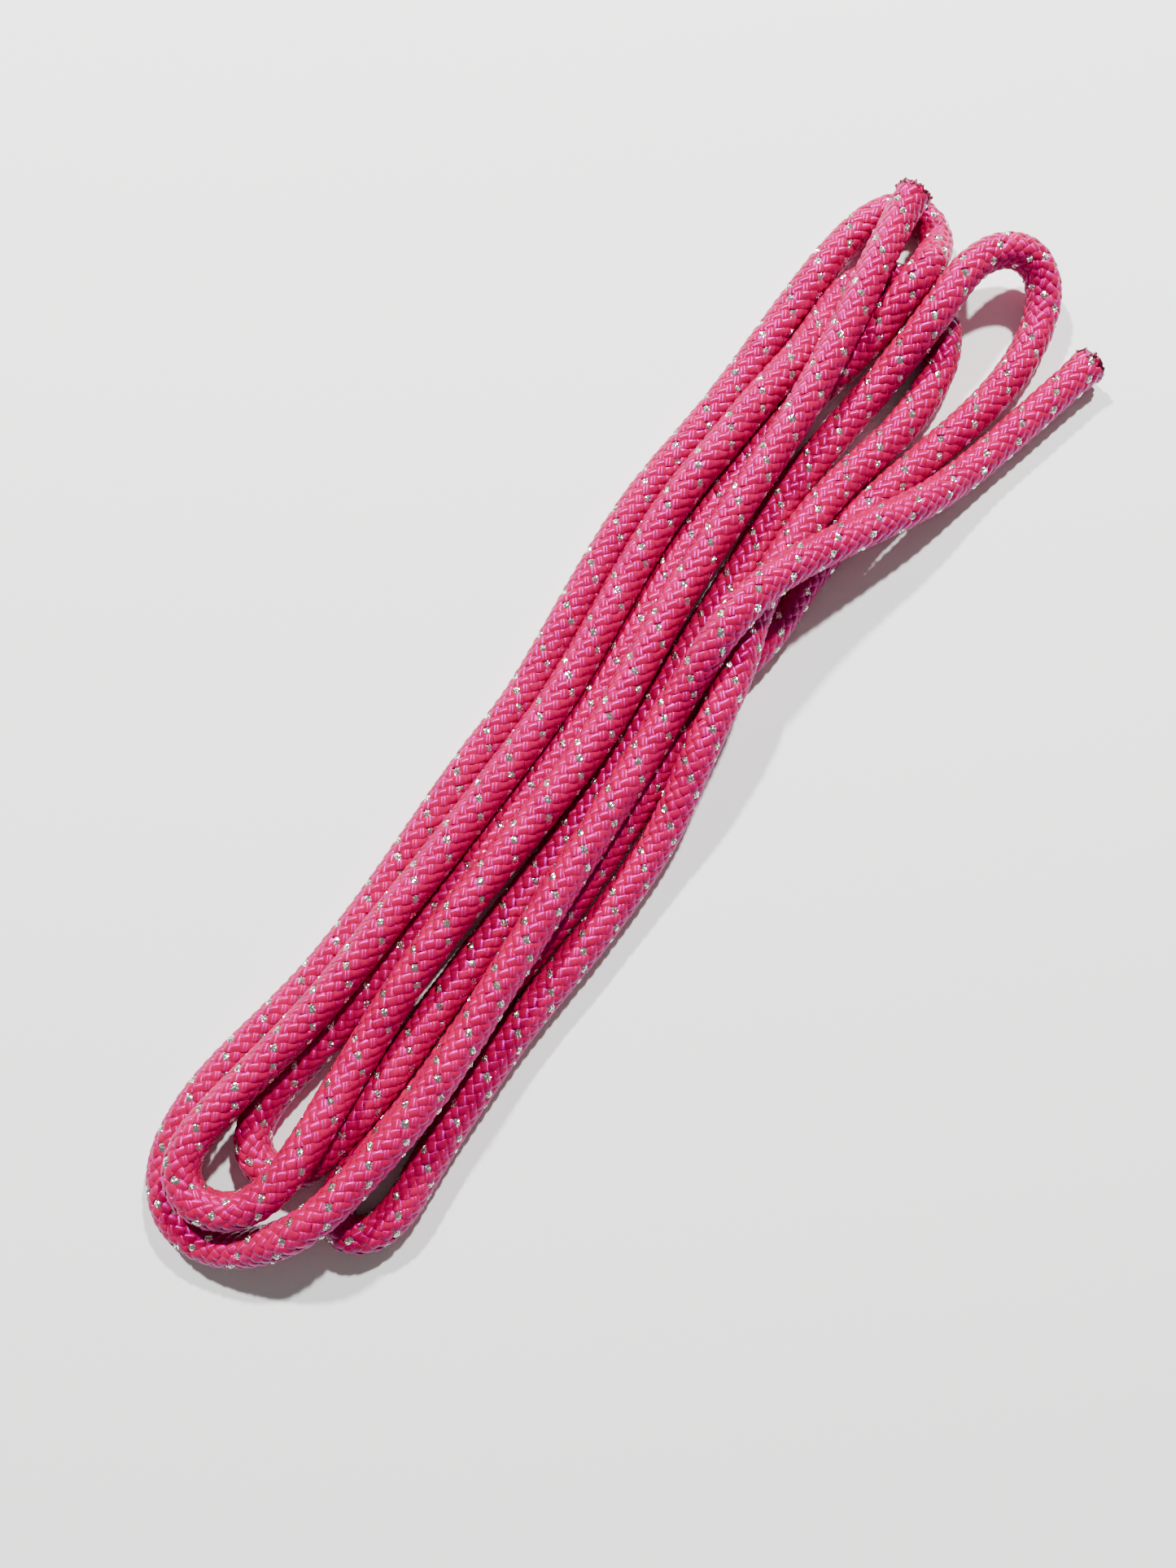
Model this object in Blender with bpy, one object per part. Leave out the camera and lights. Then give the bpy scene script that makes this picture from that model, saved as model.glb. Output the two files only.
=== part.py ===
"""A rope for rhythmic gymnastics: a braided sleeve over a bundle of core yarns, both ends melted shut.

The rope is three metres long. It is folded in half three times and laid down as a flat hank of eight
runs, some of which rest in the grooves between the runs below them. Lengths are in metres, +Z is up,
the hank lies along X, and the origin is under its middle, on the surface that it lies on.
"""

import math

import bmesh
import bpy
import numpy as np

# The rope. The crowns of its braid stand 0.5 mm proud of the sleeve's middle height.
SLEEVE_RADIUS = 0.0052
SLEEVE_WALL = 0.0013
CORE_YARN_RADIUS = 0.0010
CORE_RING_RADIUS = 0.00235
CORE_RING_COUNT = 6
CORE_SETBACK = 0.0026
SEAL_THICKNESS = 0.0026
SEAL_BEVEL = 0.0008
SEAL_PLUG_RADIUS = 0.0032
SEAL_PLUG_DEPTH = 0.0020
GAP = 0.0003

# How the rope lies.
CONTACT_DISTANCE = 0.0112  # between the centre lines of two runs that touch
NEIGHBOUR_SPAN = 0.0215  # stretches closer than this along the rope don't touch each other
SETTLE_SPACING = 0.006
SETTLE_ROUNDS = 60
SETTLE_PUSH = 0.4
SETTLE_SMOOTHING = 0.005

# How finely the rope is meshed.
SLEEVE_SIDES = 10
CORE_SIDES = 4
SEAL_SIDES = 20
CURVE_STEP = 0.0005
CHORD_GAP = 0.0003  # between the curve and the straight pieces that follow it
SHORTEST_PIECE = 0.0040
LONGEST_PIECE = 0.028

PINK = (0.90, 0.01, 0.16, 1.0)
UNDYED = (0.80, 0.78, 0.76, 1.0)
SINGED = (0.20, 0.01, 0.05, 1.0)

# Points on the rope's centre line, in millimetres, from end A to end B.
ROUTE_MM = [
    # End A, its run in the top layer, and the inner of the two lower folds that lie on each other.
    (181, 30, 16), (160, 27, 16), (109, 19, 16), (37, 15, 14.5), (-4, 10, 14.5),
    (-35, 10, 14), (-81, 12, 14.5), (-107, 12, 12), (-127, 10, 11), (-158, 7, 16),
    (-178, 12, 14.5), (-183, 25, 14), (-176, 33, 14),
    # Back along the top layer, down to the surface, and round the upper fold that lies lowest.
    (-130, 29, 14), (-89, 27, 13.5), (-58, 26, 11), (-11, 26, 9.5), (15, 29, 8.5),
    (55, 33, 10), (85, 32, 11.5), (131, 30, 7), (157, 28, 5), (163.5, 14, 5), (154.5, -4, 5),
    # Down across the next run to the outer side, and round the hidden lower fold.
    (119, -8, 5.5), (98, -4, 6.5), (72, -3, 10.5), (47, -6, 13.5), (28, -12, 16),
    (-2, -18, 13), (-21, -22, 8), (-61, -23, 5), (-92, -21, 5), (-146, -23.5, 5),
    (-160, -23, 5), (-168, -15, 5), (-160, -7, 5), (-146, -7, 5),
    # Back on the surface under the outer run, and round the largest upper fold.
    (-118, -10, 5), (-98, -10, 5), (-47, -12, 5), (25, -10, 5), (45, -13, 5),
    (66, -12, 5), (97, -15, 5), (142, -25, 5), (167, -26, 5), (183, -21, 8),
    (189, -10, 13), (179, 1, 16),
    # Over the lowest fold, down the middle, and round the smallest lower fold.
    (163, 3, 17), (150, 3, 15.5), (126, 5, 6.5), (95, 7, 5), (23, 3, 5),
    (-49, 0, 5), (-90, 1, 5), (-121, 0, 5), (-153, 2, 5), (-167, 12, 5), (-162, 22, 5),
    (-144, 24, 5),
    # Back under the top layer, over the lowest fold, and round the fold under end A.
    (-119, 21, 5), (-72, 18, 5), (0, 17, 5), (46, 22, 5), (71, 23, 5), (102, 22, 5),
    (142, 15, 9), (161, 14, 16), (174, 15, 10.5), (182, 19, 6.5), (185, 28, 5),
    (174, 38, 5),
    # Down the far side, and round the outermost lower fold.
    (102, 41, 5), (61, 43, 5), (31, 41, 5), (-10, 36, 5), (-41, 36, 5), (-113, 35, 5),
    (-159, 41, 5), (-184, 36, 5), (-193, 24, 5), (-190, 9, 6.5),
    # Back along the top layer, over two crossing runs, and down to end B.
    (-172, -5, 15.5), (-157, -9, 16.5), (-126, -12, 16), (-85, -10, 16),
    (-14, -5, 14.5), (12, -3, 16.5), (36, -3, 24.5), (57, -6, 23), (99, -24.5, 12),
    (123, -32.8, 6), (173, -44, 5),
]


def cubic_through(points, count):
    """Returns count points on the natural cubic spline through the given points."""
    gaps = np.sqrt(np.linalg.norm(np.diff(points, axis=0), axis=1))
    knots = np.concatenate([[0.0], np.cumsum(gaps)])
    slopes = np.diff(points, axis=0) / gaps[:, None]
    matrix = np.eye(len(points))
    target = np.zeros_like(points)
    for i in range(1, len(points) - 1):
        matrix[i, i - 1 : i + 2] = gaps[i - 1], 2.0 * (gaps[i - 1] + gaps[i]), gaps[i]
        target[i] = 6.0 * (slopes[i] - slopes[i - 1])
    bend = np.linalg.solve(matrix, target)
    at = np.linspace(0.0, knots[-1], count)
    piece = np.clip(np.searchsorted(knots, at, side="right") - 1, 0, len(gaps) - 1)
    width = gaps[piece][:, None]
    after = (at - knots[piece])[:, None]
    before = width - after
    straight = points[piece] * before / width + points[piece + 1] * after / width
    curved = bend[piece] * (before**3 / width - width * before)
    curved += bend[piece + 1] * (after**3 / width - width * after)
    return straight + curved / 6.0


def evenly_spaced(line, spacing):
    """Returns points on the line at equal distances along it, as near the spacing as fits."""
    along = np.concatenate([[0.0], np.cumsum(np.linalg.norm(np.diff(line, axis=0), axis=1))])
    at = np.linspace(0.0, along[-1], round(along[-1] / spacing) + 1)
    return np.stack([np.interp(at, along, line[:, axis]) for axis in range(3)], axis=1)


def settle(points):
    """Moves runs that lie too close together apart, and keeps them above the surface."""
    index = np.arange(len(points))
    can_touch = np.abs(index[:, None] - index) > NEIGHBOUR_SPAN / SETTLE_SPACING
    for _ in range(SETTLE_ROUNDS):
        offset = points[:, None] - points
        distance = np.linalg.norm(offset, axis=2)
        depth = np.where(can_touch, np.maximum(CONTACT_DISTANCE - distance, 0.0), 0.0)
        contacts = np.maximum((depth > 0.0).sum(axis=1), 1)
        weight = depth / np.maximum(distance, CURVE_STEP)
        push = (offset * weight[:, :, None]).sum(axis=1) / contacts[:, None]
        points = points + SETTLE_PUSH * push
        stiff = points[:-4] - 4.0 * points[1:-3] + 6.0 * points[2:-2] - 4.0 * points[3:-1] + points[4:]
        points[2:-2] -= SETTLE_SMOOTHING * stiff
        points[:, 2] = np.maximum(points[:, 2], SLEEVE_RADIUS)
    return points


def rope_line():
    """Returns the rope's centre line as closely spaced points, centred over the origin."""
    drawn = cubic_through(np.array(ROUTE_MM, dtype=float) / 1000.0, 6000)
    settled = settle(evenly_spaced(drawn, SETTLE_SPACING))
    line = evenly_spaced(cubic_through(settled, 12000), CURVE_STEP)
    line[:, :2] -= (line[:, :2].min(axis=0) + line[:, :2].max(axis=0)) / 2.0
    line[:, 2] += SLEEVE_RADIUS - line[:, 2].min()
    return line


def directions(line):
    """Returns the unit tangent at each point of the line."""
    tangents = np.gradient(line, axis=0)
    return tangents / np.linalg.norm(tangents, axis=1)[:, None]


def side_vectors(line, tangents):
    """Returns a unit vector across the line at each point, carried along without twist."""
    side = np.cross((0.0, 0.0, 1.0), tangents[0])
    side /= np.linalg.norm(side)
    sides = [side]
    for i in range(1, len(line)):
        step = line[i] - line[i - 1]
        reflected = side - 2.0 * step.dot(side) / step.dot(step) * step
        turned = tangents[i - 1] - 2.0 * step.dot(tangents[i - 1]) / step.dot(step) * step
        normal = tangents[i] - turned
        if normal.dot(normal) > 1e-18:
            reflected = reflected - 2.0 * normal.dot(reflected) / normal.dot(normal) * normal
        side = reflected - reflected.dot(tangents[i]) * tangents[i]
        side /= np.linalg.norm(side)
        sides.append(side)
    return np.array(sides)


def ring_places(tangents):
    """Returns the indices of the line's points that get a ring, closer together where it bends."""
    turn = np.linalg.norm(np.gradient(tangents, axis=0), axis=1) / CURVE_STEP
    window = np.ones(9) / 9.0
    bend = np.convolve(turn, window, mode="same")
    piece = np.sqrt(8.0 * CHORD_GAP / np.maximum(bend, 1e-6))
    piece = np.clip(piece, SHORTEST_PIECE, LONGEST_PIECE)
    pieces_so_far = np.concatenate([[0.0], np.cumsum(CURVE_STEP / piece[1:])])
    wanted = np.linspace(0.0, pieces_so_far[-1], math.ceil(pieces_so_far[-1]) + 1)
    return np.unique(np.searchsorted(pieces_so_far, wanted).clip(0, len(tangents) - 1))


class Rings:
    """The places along the rope where its pieces have a ring of corners."""

    def __init__(self, line, tangents, sides, places):
        self.centres = line[places]
        self.tangents = tangents[places]
        self.sides = sides[places]
        self.ups = np.cross(self.tangents, self.sides)

    def corners(self, count, radius, offset=(0.0, 0.0)):
        """Returns count corners for each ring, on a circle that may stand off the centre line."""
        angles = np.arange(count) * math.tau / count
        across = offset[0] + radius * np.cos(angles)
        upward = offset[1] + radius * np.sin(angles)
        return (
            self.centres[:, None]
            + across[None, :, None] * self.sides[:, None]
            + upward[None, :, None] * self.ups[:, None]
        )


def make_material(name, colour, roughness):
    """Returns a Principled material."""
    material = bpy.data.materials.new(name)
    material.use_nodes = True
    shader = material.node_tree.nodes["Principled BSDF"]
    shader.inputs["Base Color"].default_value = colour
    shader.inputs["Roughness"].default_value = roughness
    shader.inputs["Metallic"].default_value = 0.0
    return material


def make_object(name, mesh_builder, material, parent):
    """Links a mesh object that holds the builder's faces, smooth but for its sharp edges."""
    mesh = bpy.data.meshes.new(name)
    bmesh.ops.recalc_face_normals(mesh_builder, faces=mesh_builder.faces)
    mesh_builder.to_mesh(mesh)
    mesh_builder.free()
    mesh.shade_smooth()
    mesh.set_sharp_from_angle(angle=math.radians(50.0))
    mesh.materials.append(material)
    piece = bpy.data.objects.new(name, mesh)
    piece.parent = parent
    bpy.context.scene.collection.objects.link(piece)
    return piece


def add_rings(builder, corners):
    """Adds a vertex for each corner of each ring."""
    return [[builder.verts.new(corner) for corner in ring] for ring in corners]


def bridge(builder, first, second):
    """Joins two rings of vertices with a band of faces."""
    count = len(first)
    for i in range(count):
        after = (i + 1) % count
        builder.faces.new((first[i], first[after], second[after], second[i]))


def add_sleeve(rings, material, parent):
    """The braided sleeve: a tube open at both ends."""
    builder = bmesh.new()
    outer = add_rings(builder, rings.corners(SLEEVE_SIDES, SLEEVE_RADIUS))
    inner = add_rings(builder, rings.corners(SLEEVE_SIDES, SLEEVE_RADIUS - SLEEVE_WALL))
    for wall in (outer, inner):
        for first, second in zip(wall, wall[1:]):
            bridge(builder, first, second)
    bridge(builder, outer[0], inner[0])
    bridge(builder, outer[-1], inner[-1])
    return make_object("braided_sleeve", builder, material, parent)


def add_core_yarn(name, rings, offset, material, parent):
    """One yarn of the core: a solid tube that stands off the centre line."""
    builder = bmesh.new()
    tube = add_rings(builder, rings.corners(CORE_SIDES, CORE_YARN_RADIUS, offset))
    for first, second in zip(tube, tube[1:]):
        bridge(builder, first, second)
    builder.faces.new(tube[0])
    builder.faces.new(tube[-1])
    return make_object(name, builder, material, parent)


def core_offsets():
    """Returns where each core yarn stands off the centre line."""
    angles = [k * math.tau / CORE_RING_COUNT for k in range(CORE_RING_COUNT)]
    ring = [(CORE_RING_RADIUS * math.cos(a), CORE_RING_RADIUS * math.sin(a)) for a in angles]
    return [(0.0, 0.0)] + ring


def add_seal(name, end, outward, side, material, parent):
    """A melted end: a flat-faced disc over the sleeve's end, with a plug that reaches into it."""
    up = np.cross(outward, side)
    angles = np.arange(SEAL_SIDES) * math.tau / SEAL_SIDES
    face = GAP + SEAL_THICKNESS
    outline = [
        (-SEAL_PLUG_DEPTH, SEAL_PLUG_RADIUS),
        (GAP, SEAL_PLUG_RADIUS),
        (GAP, SLEEVE_RADIUS),
        (face - SEAL_BEVEL, SLEEVE_RADIUS),
        (face, SLEEVE_RADIUS - SEAL_BEVEL),
    ]
    builder = bmesh.new()
    turned = []
    for distance, radius in outline:
        spokes = np.cos(angles)[:, None] * side + np.sin(angles)[:, None] * up
        turned.append(end + distance * outward + radius * spokes)
    loops = add_rings(builder, turned)
    for first, second in zip(loops, loops[1:]):
        bridge(builder, first, second)
    builder.faces.new(loops[0])
    builder.faces.new(loops[-1])
    return make_object(name, builder, material, parent)


def build_rope():
    """Models the rope's pieces under one empty."""
    for old in list(bpy.data.objects):
        bpy.data.objects.remove(old, do_unlink=True)
    rope = bpy.data.objects.new("rope", None)
    bpy.context.scene.collection.objects.link(rope)
    line = rope_line()
    tangents = directions(line)
    sides = side_vectors(line, tangents)
    places = ring_places(tangents)
    add_sleeve(Rings(line, tangents, sides, places), make_material("sleeve", PINK, 0.6), rope)
    setback = round(CORE_SETBACK / CURVE_STEP)
    core_places = places.copy()
    core_places[0] = setback
    core_places[-1] = len(line) - 1 - setback
    core_rings = Rings(line, tangents, sides, core_places)
    for number, offset in enumerate(core_offsets(), start=1):
        material = make_material(f"core_{number}", UNDYED, 0.8)
        add_core_yarn(f"core_yarn_{number}", core_rings, offset, material, rope)
    singed = make_material("seal", SINGED, 0.35)
    add_seal("melted_end_a", line[0], -tangents[0], sides[0], singed, rope)
    add_seal("melted_end_b", line[-1], tangents[-1], sides[-1], singed, rope)


build_rope()
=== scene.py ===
"""The visual model of a braided rope for rhythmic gymnastics, folded as a hank.

The sleeve is modelled yarn by yarn: eight yarns wind round the rope one way and eight the other way,
each going over one and under the next. Two of the first eight are silver. Lengths are in metres.
"""

import math

import bmesh
import bpy
import numpy as np
from mathutils import Matrix, Vector


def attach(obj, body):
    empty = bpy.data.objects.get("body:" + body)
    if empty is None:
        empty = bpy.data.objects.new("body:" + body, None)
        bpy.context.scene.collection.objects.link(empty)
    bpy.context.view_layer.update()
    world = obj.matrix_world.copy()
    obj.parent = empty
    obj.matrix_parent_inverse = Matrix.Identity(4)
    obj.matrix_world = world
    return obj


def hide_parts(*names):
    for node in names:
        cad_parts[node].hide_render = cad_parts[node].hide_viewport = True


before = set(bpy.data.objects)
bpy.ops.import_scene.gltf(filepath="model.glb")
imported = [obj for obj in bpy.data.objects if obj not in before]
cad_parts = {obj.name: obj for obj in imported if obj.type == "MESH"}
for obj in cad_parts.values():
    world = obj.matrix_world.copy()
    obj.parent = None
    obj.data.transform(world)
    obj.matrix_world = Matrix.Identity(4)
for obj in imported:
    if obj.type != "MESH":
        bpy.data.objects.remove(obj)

# How the rope lies, as in the CAD model.
SLEEVE_RADIUS = 0.0052
CONTACT_DISTANCE = 0.0112  # between the centre lines of two runs that touch
NEIGHBOUR_SPAN = 0.0215  # stretches closer than this along the rope don't touch each other
SETTLE_SPACING = 0.006
SETTLE_ROUNDS = 60
SETTLE_PUSH = 0.4
SETTLE_SMOOTHING = 0.005
DRAWN_POINTS = 6000
SETTLED_POINTS = 12000
CURVE_STEP = 0.0005

# The braid.
YARNS_EACH_WAY = 8
SILVER_YARNS = (0, 4)
LEAD = 0.0300  # the length of rope in which a yarn goes round once
CROWN_RADIUS = 0.0055
YARN_WIDTH = 0.0034
YARN_THICKNESS = 0.0008
SILVER_WIDTH = 0.0022
SILVER_THICKNESS = 0.0009
SILVER_SINK = 0.0001  # how much deeper the silver yarns lie
SILVER_CRUMPLE = 0.00011
WAVE = 0.00036  # how far a yarn swings out and in as it goes over and under
LEAST_HEIGHT = 0.0001  # the least gap between a yarn and the surface that the rope lies on
UV_SCALE = 100.0  # texture lengths in a metre along a yarn
PATCH_SHARE = 0.45  # how much broad patches count in the pink's tone, beside the filaments

# Where a yarn's rings of points are, in degrees from its crown, of which 360 lead to the next.
RING_PHASES = (-84, -56, -28, 0, 28, 56, 84, 130, 180, 230)
SILVER_PHASES = (-84, -57, -33, -10, 12, 35, 59, 84, 140, 205)

# How a yarn wanders: the length of rope over which a value changes, and by about how much.
ANGLE_DRIFT = (0.009, 2.0)  # in degrees
RADIUS_DRIFT = (0.006, 0.00004)
WIDTH_DRIFT = (0.005, 0.00008)

# The sleeve's ends.
OVERHANG = 0.0016  # how far the yarns run on past the CAD sleeve's ends, to the cut
FLARE = 0.0005  # how much further out the yarns lie at the cut
FLARE_LENGTH = 0.0030

# The melted ends: rings from under the yarns, over the rim, to the middle of the sunk face. Each has
# its radius, its distance past the cut, and how ragged it is there.
END_RINGS = (
    (0.0046, -0.0024, 0.0), (0.0052, -0.0014, 0.1), (0.00565, -0.0006, 0.5), (0.0059, 0.0000, 0.9),
    (0.0058, 0.0004, 1.0), (0.0054, 0.00055, 1.0), (0.0050, 0.0003, 0.8), (0.0045, -0.0003, 0.6),
    (0.0037, -0.0007, 0.5), (0.0028, -0.0010, 0.5), (0.0019, -0.0011, 0.4), (0.0010, -0.0012, 0.3),
    (0.0003, -0.0012, 0.1),
)
END_SIDES = 120
END_HEIGHT = 0.0002  # the least gap between a melted end and the surface
RAGGED_OUT = 0.00035
RAGGED_ALONG = 0.00070
GRAIN_OUT = 0.00006
GRAIN_ALONG = 0.00007
OUT_WAVES = 16
ALONG_WAVES = 22
WAVE_SHARE = 0.45
SPIKES = 7
SPIKE_SIZES = (0.5, 1.8)
SPIKE_HALF_WIDTH = 0.11  # in radians
SEEDS = (11, 12)

# The drops of melted yarn on an end.
DROPS = 26
DROP_ROWS = (3, 8)  # which of the end's rings they sit on
DROP_SIZE = 0.00045
DROP_SIZES = (0.5, 1.4)
DROP_STRETCH = (0.6, 1.3)
DROP_GRAIN = 0.00004
DROP_REACH = 1.5  # how high a drop's middle has to be, in drop sizes

# The loose filaments.
FILAMENTS = 2  # how many stick out at each end of a pink yarn
FILAMENT_ROOTS = (1, 8)  # which of the yarn's rings they start from, counted from the cut
FILAMENT_SINK = 0.0001
FILAMENT_THICKNESS = 0.00009
FILAMENT_TAPER = 0.5  # the share of its thickness that a filament has lost at its tip
FILAMENT_RINGS = 7
FILAMENT_REACH = (0.0008, 0.0022)
FILAMENT_OUT = 0.55
FILAMENT_ONWARD = (0.2, 0.9)
FILAMENT_LEAN = 0.6

# The core strands, as in the CAD model, and the twist of their plies.
CORE_COUNT = 7
CORE_RING_COUNT = 6
CORE_RING_RADIUS = 0.00235
CORE_YARN_RADIUS = 0.0010
CORE_SETBACK = 0.0026
CORE_SIDES = 12
CORE_PLIES = 3
PLY_DEPTH = 0.1  # in strand radii, half the depth of the grooves between plies
CORE_SPACING = 0.0016
CORE_TWIST = 0.0240  # the length in which a strand's plies go round once

# Camera.
CAMERA_PLACE = (-0.0643, -0.0268, 0.3879)
CAMERA_RIGHT = (0.5878, -0.8090, 0.0)
CAMERA_TILT = math.radians(8.0)
CAMERA_LENS = 29.89

# Lamps: their direction from the hank, towards the picture's right, its top, and straight up.
LAMPS = (("left lamp", (-0.52, 0.84, 1.0)), ("right lamp", (0.33, 0.84, 1.0)))
LAMP_DISTANCE = 1.8
LAMP_SIZE = 0.09
LAMP_POWER = 62.0
WORLD_STRENGTH = 0.18
FLOOR_REACH = 3.0  # from the middle of the floor to its edges

# Points on the rope's centre line, in millimetres, from end A to end B.
ROUTE_MM = [
    # End A, its run in the top layer, and the inner of the two lower folds that lie on each other.
    (181, 30, 16), (160, 27, 16), (109, 19, 16), (37, 15, 14.5), (-4, 10, 14.5),
    (-35, 10, 14), (-81, 12, 14.5), (-107, 12, 12), (-127, 10, 11), (-158, 7, 16),
    (-178, 12, 14.5), (-183, 25, 14), (-176, 33, 14),
    # Back along the top layer, down to the surface, and round the upper fold that lies lowest.
    (-130, 29, 14), (-89, 27, 13.5), (-58, 26, 11), (-11, 26, 9.5), (15, 29, 8.5),
    (55, 33, 10), (85, 32, 11.5), (131, 30, 7), (157, 28, 5), (163.5, 14, 5), (154.5, -4, 5),
    # Down across the next run to the outer side, and round the hidden lower fold.
    (119, -8, 5.5), (98, -4, 6.5), (72, -3, 10.5), (47, -6, 13.5), (28, -12, 16),
    (-2, -18, 13), (-21, -22, 8), (-61, -23, 5), (-92, -21, 5), (-146, -23.5, 5),
    (-160, -23, 5), (-168, -15, 5), (-160, -7, 5), (-146, -7, 5),
    # Back on the surface under the outer run, and round the largest upper fold.
    (-118, -10, 5), (-98, -10, 5), (-47, -12, 5), (25, -10, 5), (45, -13, 5),
    (66, -12, 5), (97, -15, 5), (142, -25, 5), (167, -26, 5), (183, -21, 8),
    (189, -10, 13), (179, 1, 16),
    # Over the lowest fold, down the middle, and round the smallest lower fold.
    (163, 3, 17), (150, 3, 15.5), (126, 5, 6.5), (95, 7, 5), (23, 3, 5),
    (-49, 0, 5), (-90, 1, 5), (-121, 0, 5), (-153, 2, 5), (-167, 12, 5), (-162, 22, 5),
    (-144, 24, 5),
    # Back under the top layer, over the lowest fold, and round the fold under end A.
    (-119, 21, 5), (-72, 18, 5), (0, 17, 5), (46, 22, 5), (71, 23, 5), (102, 22, 5),
    (142, 15, 9), (161, 14, 16), (174, 15, 10.5), (182, 19, 6.5), (185, 28, 5),
    (174, 38, 5),
    # Down the far side, and round the outermost lower fold.
    (102, 41, 5), (61, 43, 5), (31, 41, 5), (-10, 36, 5), (-41, 36, 5), (-113, 35, 5),
    (-159, 41, 5), (-184, 36, 5), (-193, 24, 5), (-190, 9, 6.5),
    # Back along the top layer, over two crossing runs, and down to end B.
    (-172, -5, 15.5), (-157, -9, 16.5), (-126, -12, 16), (-85, -10, 16),
    (-14, -5, 14.5), (12, -3, 16.5), (36, -3, 24.5), (57, -6, 23), (99, -24.5, 12),
    (123, -32.8, 6), (173, -44, 5),
]


def cubic_through(points, count):
    """Returns count points on the natural cubic spline through the given points."""
    gaps = np.sqrt(np.linalg.norm(np.diff(points, axis=0), axis=1))
    knots = np.concatenate([[0.0], np.cumsum(gaps)])
    slopes = np.diff(points, axis=0) / gaps[:, None]
    matrix = np.eye(len(points))
    target = np.zeros_like(points)
    for i in range(1, len(points) - 1):
        matrix[i, i - 1 : i + 2] = gaps[i - 1], 2.0 * (gaps[i - 1] + gaps[i]), gaps[i]
        target[i] = 6.0 * (slopes[i] - slopes[i - 1])
    bend = np.linalg.solve(matrix, target)
    at = np.linspace(0.0, knots[-1], count)
    piece = np.clip(np.searchsorted(knots, at, side="right") - 1, 0, len(gaps) - 1)
    width = gaps[piece][:, None]
    after = (at - knots[piece])[:, None]
    before = width - after
    straight = points[piece] * before / width + points[piece + 1] * after / width
    curved = bend[piece] * (before**3 / width - width * before)
    curved += bend[piece + 1] * (after**3 / width - width * after)
    return straight + curved / 6.0


def evenly_spaced(line, spacing):
    """Returns points on the line at equal distances along it, as near the spacing as fits."""
    along = np.concatenate([[0.0], np.cumsum(np.linalg.norm(np.diff(line, axis=0), axis=1))])
    at = np.linspace(0.0, along[-1], round(along[-1] / spacing) + 1)
    return np.stack([np.interp(at, along, line[:, axis]) for axis in range(3)], axis=1)


def settle(points):
    """Moves runs that lie too close together apart, and keeps them above the surface."""
    index = np.arange(len(points))
    can_touch = np.abs(index[:, None] - index) > NEIGHBOUR_SPAN / SETTLE_SPACING
    for _ in range(SETTLE_ROUNDS):
        offset = points[:, None] - points
        distance = np.linalg.norm(offset, axis=2)
        depth = np.where(can_touch, np.maximum(CONTACT_DISTANCE - distance, 0.0), 0.0)
        contacts = np.maximum((depth > 0.0).sum(axis=1), 1)
        weight = depth / np.maximum(distance, CURVE_STEP)
        push = (offset * weight[:, :, None]).sum(axis=1) / contacts[:, None]
        points = points + SETTLE_PUSH * push
        stiff = points[:-4] - 4.0 * points[1:-3] + 6.0 * points[2:-2] - 4.0 * points[3:-1] + points[4:]
        points[2:-2] -= SETTLE_SMOOTHING * stiff
        points[:, 2] = np.maximum(points[:, 2], SLEEVE_RADIUS)
    return points


def rope_line():
    """Returns the rope's centre line as closely spaced points, centred over the origin."""
    drawn = cubic_through(np.array(ROUTE_MM, dtype=float) / 1000.0, DRAWN_POINTS)
    settled = settle(evenly_spaced(drawn, SETTLE_SPACING))
    line = evenly_spaced(cubic_through(settled, SETTLED_POINTS), CURVE_STEP)
    line[:, :2] -= (line[:, :2].min(axis=0) + line[:, :2].max(axis=0)) / 2.0
    line[:, 2] += SLEEVE_RADIUS - line[:, 2].min()
    return line


def directions(line):
    """Returns the unit tangent at each point of the line."""
    tangents = np.gradient(line, axis=0)
    return tangents / np.linalg.norm(tangents, axis=1)[:, None]


def side_vectors(line, tangents):
    """Returns a unit vector across the line at each point, carried along without twist."""
    side = np.cross((0.0, 0.0, 1.0), tangents[0])
    side /= np.linalg.norm(side)
    sides = [side]
    for i in range(1, len(line)):
        step = line[i] - line[i - 1]
        reflected = side - 2.0 * step.dot(side) / step.dot(step) * step
        turned = tangents[i - 1] - 2.0 * step.dot(tangents[i - 1]) / step.dot(step) * step
        normal = tangents[i] - turned
        if normal.dot(normal) > 1e-18:
            reflected = reflected - 2.0 * normal.dot(reflected) / normal.dot(normal) * normal
        side = reflected - reflected.dot(tangents[i]) * tangents[i]
        side /= np.linalg.norm(side)
        sides.append(side)
    return np.array(sides)


def set_camera():
    """Places the camera over the hank."""
    data = bpy.data.cameras.new("camera")
    data.sensor_width = 36.0
    data.lens = CAMERA_LENS
    data.clip_start = 0.01
    camera = bpy.data.objects.new("camera", data)
    right = np.array(CAMERA_RIGHT) / np.linalg.norm(CAMERA_RIGHT)
    flat_up = np.cross((0.0, 0.0, 1.0), right)
    up = flat_up * math.cos(CAMERA_TILT) + np.array((0.0, 0.0, math.sin(CAMERA_TILT)))
    back = np.cross(right, up)
    axes = np.eye(4)
    axes[:3, 0], axes[:3, 1], axes[:3, 2], axes[:3, 3] = right, up, back, CAMERA_PLACE
    camera.matrix_world = Matrix(axes.tolist())
    bpy.context.scene.collection.objects.link(camera)
    bpy.context.scene.camera = camera


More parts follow.
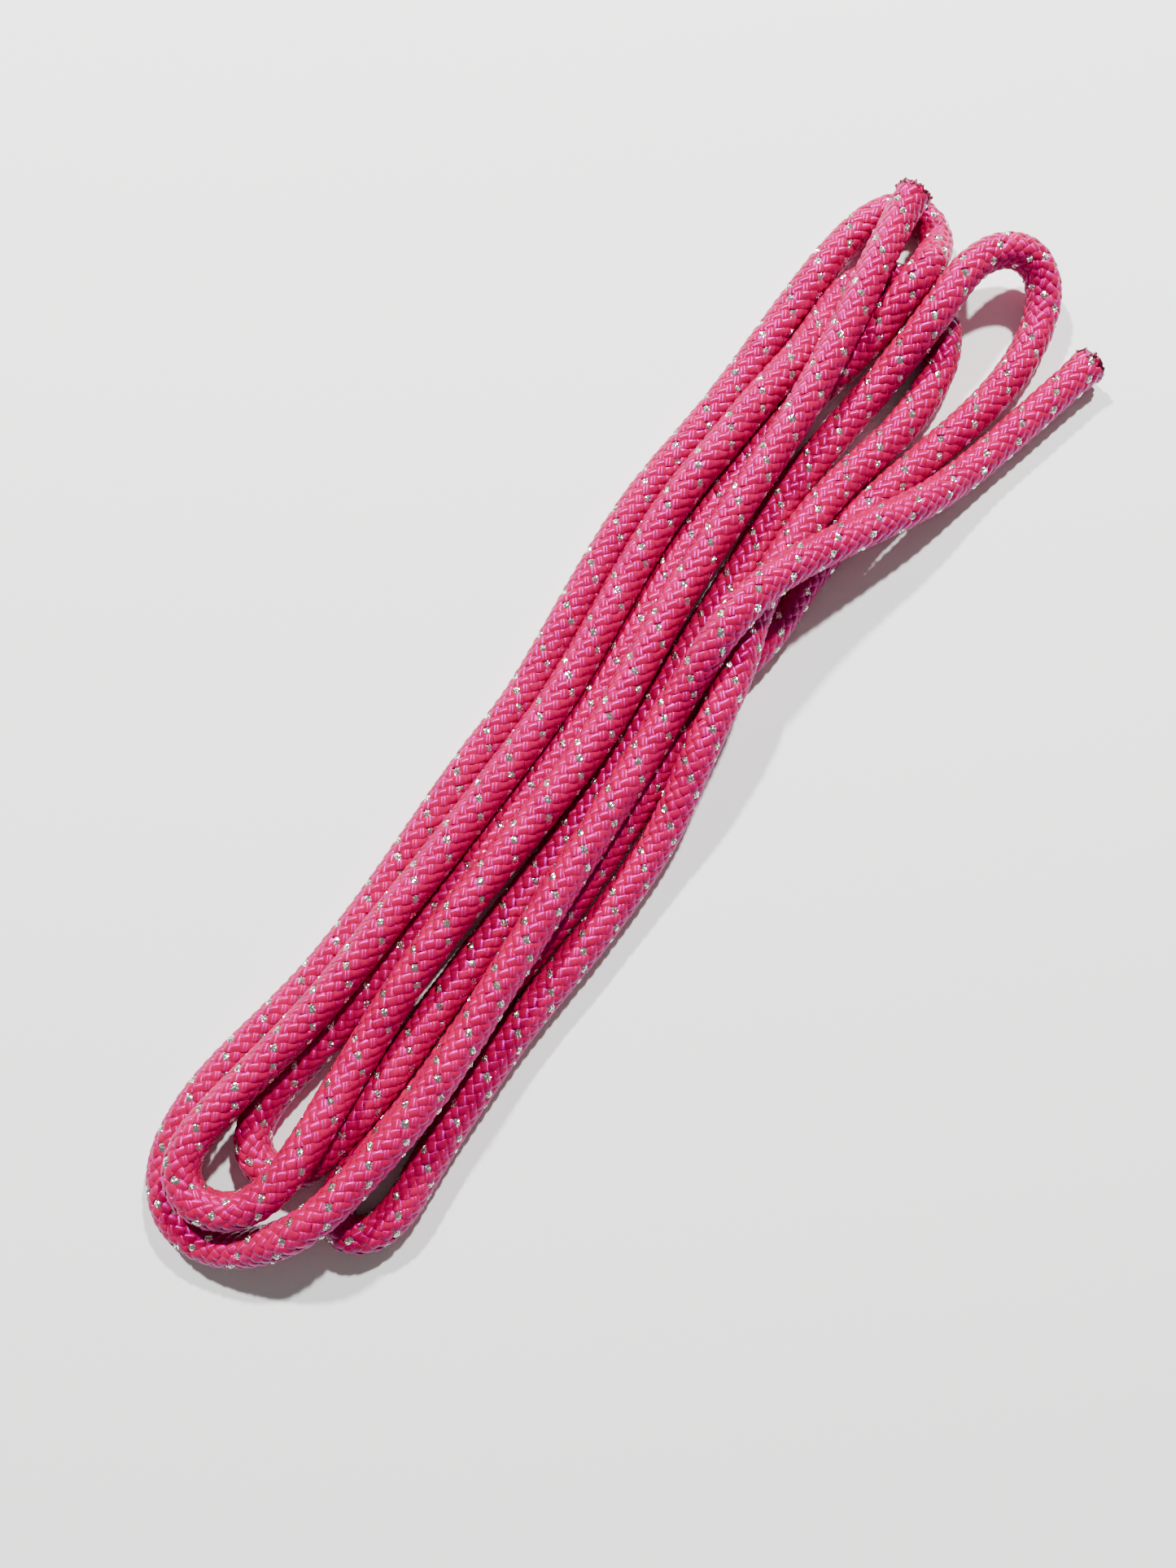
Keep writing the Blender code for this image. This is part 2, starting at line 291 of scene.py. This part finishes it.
class Rope:
    """The rope's centre line with the directions across it, to be read at any distance along it."""

    def __init__(self):
        self.line = rope_line()
        self.tangents = directions(self.line)
        self.sides = side_vectors(self.line, self.tangents)
        steps = np.linalg.norm(np.diff(self.line, axis=0), axis=1)
        self.along = np.concatenate([[0.0], np.cumsum(steps)])
        self.length = self.along[-1]
        # The middle of each cut, the way out of the rope there, and a direction across it.
        self.cuts = (
            (self.line[0] - OVERHANG * self.tangents[0], -self.tangents[0], self.sides[0]),
            (self.line[-1] + OVERHANG * self.tangents[-1], self.tangents[-1], self.sides[-1]),
        )

    def read(self, values, at):
        """Returns the values at the given distances along the rope."""
        return np.stack([np.interp(at, self.along, values[:, k]) for k in range(3)], axis=1)

    def on_surface(self, at, angle, radius):
        """Returns the points at an angle and radius round the rope, and the way out from its middle."""
        side = self.read(self.sides, at)
        tangent = self.read(self.tangents, at)
        up = np.cross(tangent, side)
        out = np.cos(angle)[:, None] * side + np.sin(angle)[:, None] * up
        out /= np.linalg.norm(out, axis=1)[:, None]
        past = at - np.clip(at, 0.0, self.length)
        return self.read(self.line, at) + past[:, None] * tangent + radius[:, None] * out, out


def drift(random, at, spacing, size):
    """Returns a random value for each place, which changes smoothly over the spacing."""
    count = int(at[-1] / spacing) + 4
    knots = (np.arange(count) - 1) * spacing
    return size * np.interp(at, knots, random.standard_normal(count))


def mesh_object(name, points, faces, uv=None):
    """Links a smooth mesh of four-sided faces."""
    mesh = bpy.data.meshes.new(name)
    mesh.vertices.add(len(points))
    mesh.vertices.foreach_set("co", points.ravel())
    mesh.loops.add(faces.size)
    mesh.loops.foreach_set("vertex_index", faces.ravel())
    mesh.polygons.add(len(faces))
    mesh.polygons.foreach_set("loop_start", np.arange(0, faces.size, faces.shape[1]))
    if uv is not None:
        layer = mesh.uv_layers.new(name="along")
        layer.data.foreach_set("uv", uv[faces.ravel()].ravel())
    mesh.update(calc_edges=True)
    mesh.validate()
    mesh.shade_smooth()
    made = bpy.data.objects.new(name, mesh)
    bpy.context.scene.collection.objects.link(made)
    return made


# A yarn's cross-section: across it in half widths, and out of the rope in half thicknesses.
PROFILE = np.array([
    (-1.00, -0.25), (-0.76, 0.42), (-0.50, 0.74), (-0.26, 0.99), (0.00, 0.95), (0.26, 0.99),
    (0.50, 0.74), (0.76, 0.42), (1.00, -0.25), (0.60, -0.70), (0.00, -0.80), (-0.60, -0.70),
])

FILAMENT_PROFILE = np.array([(-1.0, 0.0), (0.0, 1.0), (1.0, 0.0), (0.0, -1.0)])


def ring_faces(rings, corners):
    """Returns the four-sided faces between rings of points."""
    ring = np.arange(rings - 1)[:, None] * corners
    corner = np.arange(corners)[None]
    after = (corner + 1) % corners
    quads = (ring + corner, ring + after, ring + corners + after, ring + corners + corner)
    return np.stack(quads, axis=-1).reshape(-1, 4)


def sweep(profile, centres, across, out):
    """Returns the points and faces of a closed tube; its profile is in metres for each ring."""
    points = (
        centres[:, None]
        + profile[:, :, 0, None] * across[:, None]
        + profile[:, :, 1, None] * out[:, None]
    )
    rings, corners = points.shape[:2]
    first = np.array([(k, corners - 1 - k, corners - 2 - k, k + 1) for k in range(corners // 2 - 1)])
    last = first[:, ::-1] + (rings - 1) * corners
    return points.reshape(-1, 3), np.concatenate([ring_faces(rings, corners), first, last])


def yarn(rope, number, way, shiny):
    """One yarn of the sleeve. Way is 1 if it goes round clockwise seen from end A, or -1."""
    random = np.random.default_rng(100 * (way + 2) + number)
    width = SILVER_WIDTH if shiny else YARN_WIDTH
    thickness = SILVER_THICKNESS if shiny else YARN_THICKNESS
    period = LEAD / YARNS_EACH_WAY
    crowns = np.arange(-1, int(rope.length / period) + 2)
    phases = np.array(SILVER_PHASES if shiny else RING_PHASES) / 360.0
    offset = 0.0 if way < 0 else 0.5
    at = ((crowns[:, None] + phases[None]) * period).ravel()
    at += offset * period
    at = at[(at >= -OVERHANG) & (at <= rope.length + OVERHANG)]
    turn = way * at / LEAD + number / YARNS_EACH_WAY
    angle = math.tau * turn + np.radians(drift(random, at, *ANGLE_DRIFT))
    swing = WAVE * np.cos(math.tau * (at / period - offset))
    middle = CROWN_RADIUS - WAVE - thickness / 2.0 - (SILVER_SINK if shiny else 0.0)
    radius = middle + swing + drift(random, at, *RADIUS_DRIFT)
    to_cut = OVERHANG + np.minimum(at, rope.length - at)
    radius += FLARE * np.exp(-to_cut / FLARE_LENGTH)
    centres, outward = rope.on_surface(at, angle, radius)
    heading = np.gradient(centres, at, axis=0)
    heading /= np.linalg.norm(heading, axis=1)[:, None]
    across = np.cross(heading, outward)
    across /= np.linalg.norm(across, axis=1)[:, None]
    out = np.cross(across, heading)
    widths = width + drift(random, at, *WIDTH_DRIFT)
    sizes = np.stack([widths, np.full(len(at), thickness)], axis=1)
    profile = PROFILE[None] * sizes[:, None] / 2.0
    if shiny:
        profile = profile + random.normal(0.0, SILVER_CRUMPLE, profile.shape)
    points, faces = sweep(profile, centres, across, out)
    count = len(PROFILE)
    uv = np.empty((len(points), 2))
    uv[:, 0] = np.tile(np.arange(count) / count, len(at))
    uv[:, 1] = np.repeat(at * UV_SCALE, count)
    if not shiny:
        points, faces, uv = with_filaments(random, rope, centres, outward, points, faces, uv)
    points[:, 2] = np.maximum(points[:, 2], LEAST_HEIGHT)
    return points, faces, uv


def loose_filament(random, start, out, onward):
    """A filament that sticks out of a yarn near the cut: its points and faces."""
    way_round = np.cross(onward, out)
    lean = random.normal(0.0, FILAMENT_LEAN)
    reach = random.uniform(*FILAMENT_REACH)
    rise = FILAMENT_OUT * out + random.uniform(*FILAMENT_ONWARD) * onward
    t = np.linspace(0.0, 1.0, FILAMENT_RINGS)[:, None]
    centres = start + reach * (t * rise + t ** 2 * lean * way_round)
    heading = centres[-1] - centres[0]
    heading /= np.linalg.norm(heading)
    across = np.cross(heading, out)
    across /= np.linalg.norm(across)
    half_thickness = FILAMENT_THICKNESS / 2.0 * (1.0 - FILAMENT_TAPER * t)
    profile = FILAMENT_PROFILE[None] * half_thickness[:, None]
    repeat = (FILAMENT_RINGS, 1)
    return sweep(profile, centres, np.tile(across, repeat), np.tile(np.cross(across, heading), repeat))


def with_filaments(random, rope, centres, outward, points, faces, uv):
    """Adds the loose filaments at a yarn's two ends to its mesh."""
    for end, onward in ((1, -rope.tangents[0]), (-1, rope.tangents[-1])):
        for _ in range(FILAMENTS):
            ring = end * random.integers(*FILAMENT_ROOTS)
            start = centres[ring] - FILAMENT_SINK * outward[ring]
            more, more_faces = loose_filament(random, start, outward[ring], onward)
            faces = np.concatenate([faces, more_faces + len(points)])
            points = np.concatenate([points, more])
            uv = np.concatenate([uv, np.full((len(more), 2), 0.5)])
    return points, faces, uv


def core_strand(rope, number):
    """One three-ply strand of the core: the first is in the middle, the others stand round it."""
    stand_off = 0.0 if number == 0 else CORE_RING_RADIUS
    at = np.linspace(CORE_SETBACK, rope.length - CORE_SETBACK, int(rope.length / CORE_SPACING))
    angle = np.full(len(at), math.tau * (number - 1) / CORE_RING_COUNT)
    centres, out = rope.on_surface(at, angle, np.full(len(at), stand_off))
    heading = rope.read(rope.tangents, at)
    across = np.cross(heading, out)
    turns = np.arange(CORE_SIDES) / CORE_SIDES
    around = -math.tau * turns[None]
    lobes = np.cos(CORE_PLIES * (around - math.tau * at[:, None] / CORE_TWIST))
    reach = CORE_YARN_RADIUS * (1.0 - PLY_DEPTH + PLY_DEPTH * lobes)
    profile = np.stack([reach * np.cos(around), reach * np.sin(around)], axis=-1)
    return sweep(profile, centres, across, out)


def ragged(random, count, waves, spikes):
    """Returns random heights round a ring: slow and quick waves, and a few narrow spikes."""
    angles = np.arange(count) * math.tau / count
    heights = np.zeros(count)
    for wave in range(2, waves):
        size = random.normal(0.0, 1.0 / wave ** 0.5)
        heights += size * np.cos(wave * angles + random.uniform(0, math.tau))
    heights *= WAVE_SHARE
    for spike in random.uniform(0, math.tau, spikes):
        away = np.abs((angles - spike + math.pi) % math.tau - math.pi)
        heights += random.uniform(*SPIKE_SIZES) * np.maximum(0.0, 1.0 - away / SPIKE_HALF_WIDTH)
    return heights


def melted_end(name, cut, seed):
    """A ragged rim of melted yarn over the rope's cut end, with a sunk face and drops."""
    random = np.random.default_rng(seed)
    place, outward, side = cut
    up = np.cross(outward, side)
    angles = np.arange(END_SIDES) * math.tau / END_SIDES
    spokes = np.cos(angles)[:, None] * side + np.sin(angles)[:, None] * up
    out_wave = ragged(random, END_SIDES, OUT_WAVES, 0)
    along_wave = ragged(random, END_SIDES, ALONG_WAVES, SPIKES)
    rings = []
    for radius, along, roughness in END_RINGS:
        grain = random.normal(0.0, GRAIN_OUT, END_SIDES) * roughness
        reach = radius + roughness * RAGGED_OUT * out_wave + grain
        grain = random.normal(0.0, GRAIN_ALONG, END_SIDES) * roughness
        rise = along + roughness * RAGGED_ALONG * along_wave + grain
        ring_points = place + reach[:, None] * spokes + rise[:, None] * outward
        ring_points[:, 2] = np.maximum(ring_points[:, 2], END_HEIGHT)
        rings.append(ring_points)
    builder = bmesh.new()
    corners = [builder.verts.new(point) for point in np.concatenate(rings)]
    for face in ring_faces(len(END_RINGS), END_SIDES):
        builder.faces.new([corners[k] for k in face])
    builder.faces.new(corners[:END_SIDES])
    builder.faces.new(corners[-END_SIDES:])
    for _ in range(DROPS):
        side_number = random.integers(END_SIDES)
        row = random.integers(*DROP_ROWS)
        size = DROP_SIZE * random.uniform(*DROP_SIZES)
        middle = rings[row][side_number].copy()
        middle[2] = max(middle[2], DROP_REACH * size)
        stretch = Matrix.Diagonal((*random.uniform(*DROP_STRETCH, 3), 1.0))
        where = Matrix.Translation(middle) @ stretch
        drop = bmesh.ops.create_icosphere(builder, subdivisions=2, radius=size, matrix=where)
        for corner in drop["verts"]:
            corner.co += Vector(random.normal(0.0, DROP_GRAIN, 3))
    bmesh.ops.recalc_face_normals(builder, faces=builder.faces)
    mesh = bpy.data.meshes.new(name)
    builder.to_mesh(mesh)
    builder.free()
    mesh.shade_smooth()
    made = bpy.data.objects.new(name, mesh)
    bpy.context.scene.collection.objects.link(made)
    return made


def node(tree, kind, **inputs):
    """Adds a shader node with the given values in its inputs."""
    made = tree.nodes.new(kind)
    for name, value in inputs.items():
        made.inputs[name.replace("_", " ")].default_value = value
    return made


def new_material(name, **inputs):
    """Returns a new material, and its shader with the given values in its inputs."""
    material = bpy.data.materials.new(name)
    material.use_nodes = True
    shader = material.node_tree.nodes["Principled BSDF"]
    for socket, value in inputs.items():
        shader.inputs[socket.replace("_", " ")].default_value = value
    return material, shader


def colour_by(tree, shader, factor, first, last, *between):
    """Colours the shader by a ramp over the factor; each stop is a place on it and a colour."""
    ramp = tree.nodes.new("ShaderNodeValToRGB")
    elements = ramp.color_ramp.elements
    for element, (position, colour) in zip(elements, (first, last)):
        element.position = position
        element.color = (*colour, 1.0)
    for position, colour in between:
        elements.new(position).color = (*colour, 1.0)
    tree.links.new(factor, ramp.inputs[0])
    tree.links.new(ramp.outputs[0], shader.inputs["Base Color"])


def bump_by(tree, shader, height, strength):
    """Raises the shader's surface by up to a tenth of a millimetre where the height is large."""
    bump = node(tree, "ShaderNodeBump", Strength=strength, Distance=0.0001)
    tree.links.new(height, bump.inputs["Height"])
    tree.links.new(bump.outputs[0], shader.inputs["Normal"])


def pink_material():
    """Bright pink filament yarn, whose shine is drawn out across its filaments."""
    material, shader = new_material(
        "pink_yarn", Roughness=0.27, Anisotropic=1.0, IOR=1.5, Specular_IOR_Level=1.0,
        Specular_Tint=(1.0, 0.0, 1.0, 1.0),
    )
    tree = material.node_tree
    tangent = tree.nodes.new("ShaderNodeTangent")
    tangent.direction_type = "UV_MAP"
    tangent.uv_map = "along"
    tree.links.new(tangent.outputs[0], shader.inputs["Tangent"])
    along = tree.nodes.new("ShaderNodeUVMap")
    along.uv_map = "along"
    stretch = node(tree, "ShaderNodeMapping", Scale=(46.0, 4.0, 1.0))
    filaments = node(tree, "ShaderNodeTexNoise", Scale=1.0, Detail=3.0, Roughness=0.65)
    place = tree.nodes.new("ShaderNodeTexCoord")
    patches = node(tree, "ShaderNodeTexNoise", Scale=140.0, Detail=2.0)
    both = tree.nodes.new("ShaderNodeMath")
    both.operation = "MULTIPLY_ADD"
    both.inputs[1].default_value = PATCH_SHARE
    tree.links.new(along.outputs[0], stretch.inputs[0])
    tree.links.new(stretch.outputs[0], filaments.inputs["Vector"])
    tree.links.new(place.outputs["Object"], patches.inputs["Vector"])
    tree.links.new(patches.outputs[0], both.inputs[0])
    tree.links.new(filaments.outputs[0], both.inputs[2])
    colour_by(tree, shader, both.outputs[0], (0.48, (0.22, 0.0, 0.020)), (0.92, (0.45, 0.0, 0.056)))
    bump_by(tree, shader, filaments.outputs[0], 0.55)
    return material


def silver_material():
    """Metallised yarn, whose tone and gloss change a little from facet to facet."""
    material, shader = new_material("silver_yarn", Metallic=1.0)
    tree = material.node_tree
    place = tree.nodes.new("ShaderNodeTexCoord")
    creases = node(tree, "ShaderNodeTexNoise", Scale=1400.0, Detail=3.0, Roughness=0.6)
    gloss = node(tree, "ShaderNodeMapRange", From_Min=0.3, From_Max=0.7, To_Min=0.26, To_Max=0.10)
    tree.links.new(place.outputs["Object"], creases.inputs["Vector"])
    colour_by(tree, shader, creases.outputs[0], (0.35, (0.76, 0.72, 0.67)), (0.65, (0.98, 0.96, 0.92)))
    tree.links.new(creases.outputs[0], gloss.inputs["Value"])
    tree.links.new(gloss.outputs[0], shader.inputs["Roughness"])
    return material


def core_material():
    """Undyed matte yarn."""
    material, shader = new_material("core_yarn", Roughness=0.85)
    tree = material.node_tree
    place = tree.nodes.new("ShaderNodeTexCoord")
    fibres = node(tree, "ShaderNodeTexNoise", Scale=1800.0, Detail=4.0, Roughness=0.7)
    tree.links.new(place.outputs["Object"], fibres.inputs["Vector"])
    colour_by(tree, shader, fibres.outputs[0], (0.3, (0.60, 0.57, 0.53)), (0.7, (0.86, 0.84, 0.81)))
    bump_by(tree, shader, fibres.outputs[0], 0.6)
    return material


def melted_material():
    """Yarn that has melted and singed: dark maroon on the rim, crimson in patches."""
    material, shader = new_material("melted_yarn", Roughness=0.32, Specular_Tint=(1.0, 0.45, 0.7, 1.0))
    tree = material.node_tree
    place = tree.nodes.new("ShaderNodeTexCoord")
    patches = node(tree, "ShaderNodeTexNoise", Scale=520.0, Detail=4.0, Roughness=0.6)
    grain = node(tree, "ShaderNodeTexNoise", Scale=2600.0, Detail=3.0)
    tree.links.new(place.outputs["Object"], patches.inputs["Vector"])
    tree.links.new(place.outputs["Object"], grain.inputs["Vector"])
    colour_by(
        tree, shader, patches.outputs[0],
        (0.40, (0.030, 0.001, 0.006)), (0.68, (0.36, 0.0, 0.045)), (0.52, (0.10, 0.002, 0.018)),
    )
    bump_by(tree, shader, grain.outputs[0], 0.5)
    return material


def floor():
    """A pale surface under the hank."""
    corners = [(-1.0, -1.0, 0.0), (1.0, -1.0, 0.0), (1.0, 1.0, 0.0), (-1.0, 1.0, 0.0)]
    made = mesh_object("floor", FLOOR_REACH * np.array(corners), np.array([(0, 1, 2, 3)]))
    material, _ = new_material("floor", Base_Color=(0.95, 0.94, 0.93, 1.0), Roughness=0.8)
    made.data.materials.append(material)


def area_light(name, direction):
    """A square lamp in a direction given as towards the picture's right, its top and straight up."""
    data = bpy.data.lights.new(name, "AREA")
    data.size = LAMP_SIZE
    data.energy = LAMP_POWER
    lamp = bpy.data.objects.new(name, data)
    picture_right = np.array(CAMERA_RIGHT) / np.linalg.norm(CAMERA_RIGHT)
    picture_up = np.cross((0.0, 0.0, 1.0), picture_right)
    back = direction[0] * picture_right + direction[1] * picture_up
    back[2] += direction[2]
    back /= np.linalg.norm(back)
    place = back * LAMP_DISTANCE
    right = np.cross((0.0, 0.0, 1.0), back)
    right /= np.linalg.norm(right)
    up = np.cross(back, right)
    axes = np.eye(4)
    axes[:3, 0], axes[:3, 1], axes[:3, 2], axes[:3, 3] = right, up, back, place
    lamp.matrix_world = Matrix(axes.tolist())
    bpy.context.scene.collection.objects.link(lamp)


def surroundings():
    """Light from all sides."""
    world = bpy.data.worlds.new("surroundings")
    world.use_nodes = True
    background = world.node_tree.nodes["Background"]
    background.inputs["Color"].default_value = (1.0, 0.99, 0.98, 1.0)
    background.inputs["Strength"].default_value = WORLD_STRENGTH
    bpy.context.scene.world = world


def make_yarns(rope):
    """Makes the sleeve's sixteen yarns."""
    pink = pink_material()
    silver = silver_material()
    yarns = []
    for way in (-1, 1):
        for number in range(YARNS_EACH_WAY):
            shiny = way < 0 and number in SILVER_YARNS
            colour = "silver" if shiny else "pink"
            hand = "left" if way < 0 else "right"
            name = f"{colour}_yarn_{hand}_{number + 1}"
            made = mesh_object(name, *yarn(rope, number, way, shiny))
            made.data.materials.append(silver if shiny else pink)
            if shiny:
                made.data.shade_flat()
            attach(made, "root")
            yarns.append(made)
    return yarns


def make_core(rope):
    """Makes the core's strands."""
    undyed = core_material()
    strands = []
    for number in range(CORE_COUNT):
        strand = mesh_object(f"core_strand_{number + 1}", *core_strand(rope, number))
        strand.data.materials.append(undyed)
        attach(strand, "root")
        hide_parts(f"core_yarn_{number + 1}")
        strands.append(strand)
    return strands


def make_ends(rope):
    """Makes the two melted ends."""
    melted = melted_material()
    rims = []
    for letter, cut, seed in zip("ab", rope.cuts, SEEDS):
        rim = melted_end(f"melted_rim_{letter}", cut, seed)
        rim.data.materials.append(melted)
        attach(rim, "root")
        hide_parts(f"melted_end_{letter}")
        rims.append(rim)
    return rims


def build():
    """Builds the rope and what is round it."""
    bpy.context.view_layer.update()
    set_camera()
    rope = Rope()
    yarns = make_yarns(rope)
    cord = yarns[1]
    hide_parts("braided_sleeve")
    others = [made for made in yarns if made is not cord] + make_core(rope) + make_ends(rope)
    floor()
    for name, direction in LAMPS:
        area_light(name, direction)
    surroundings()


build()
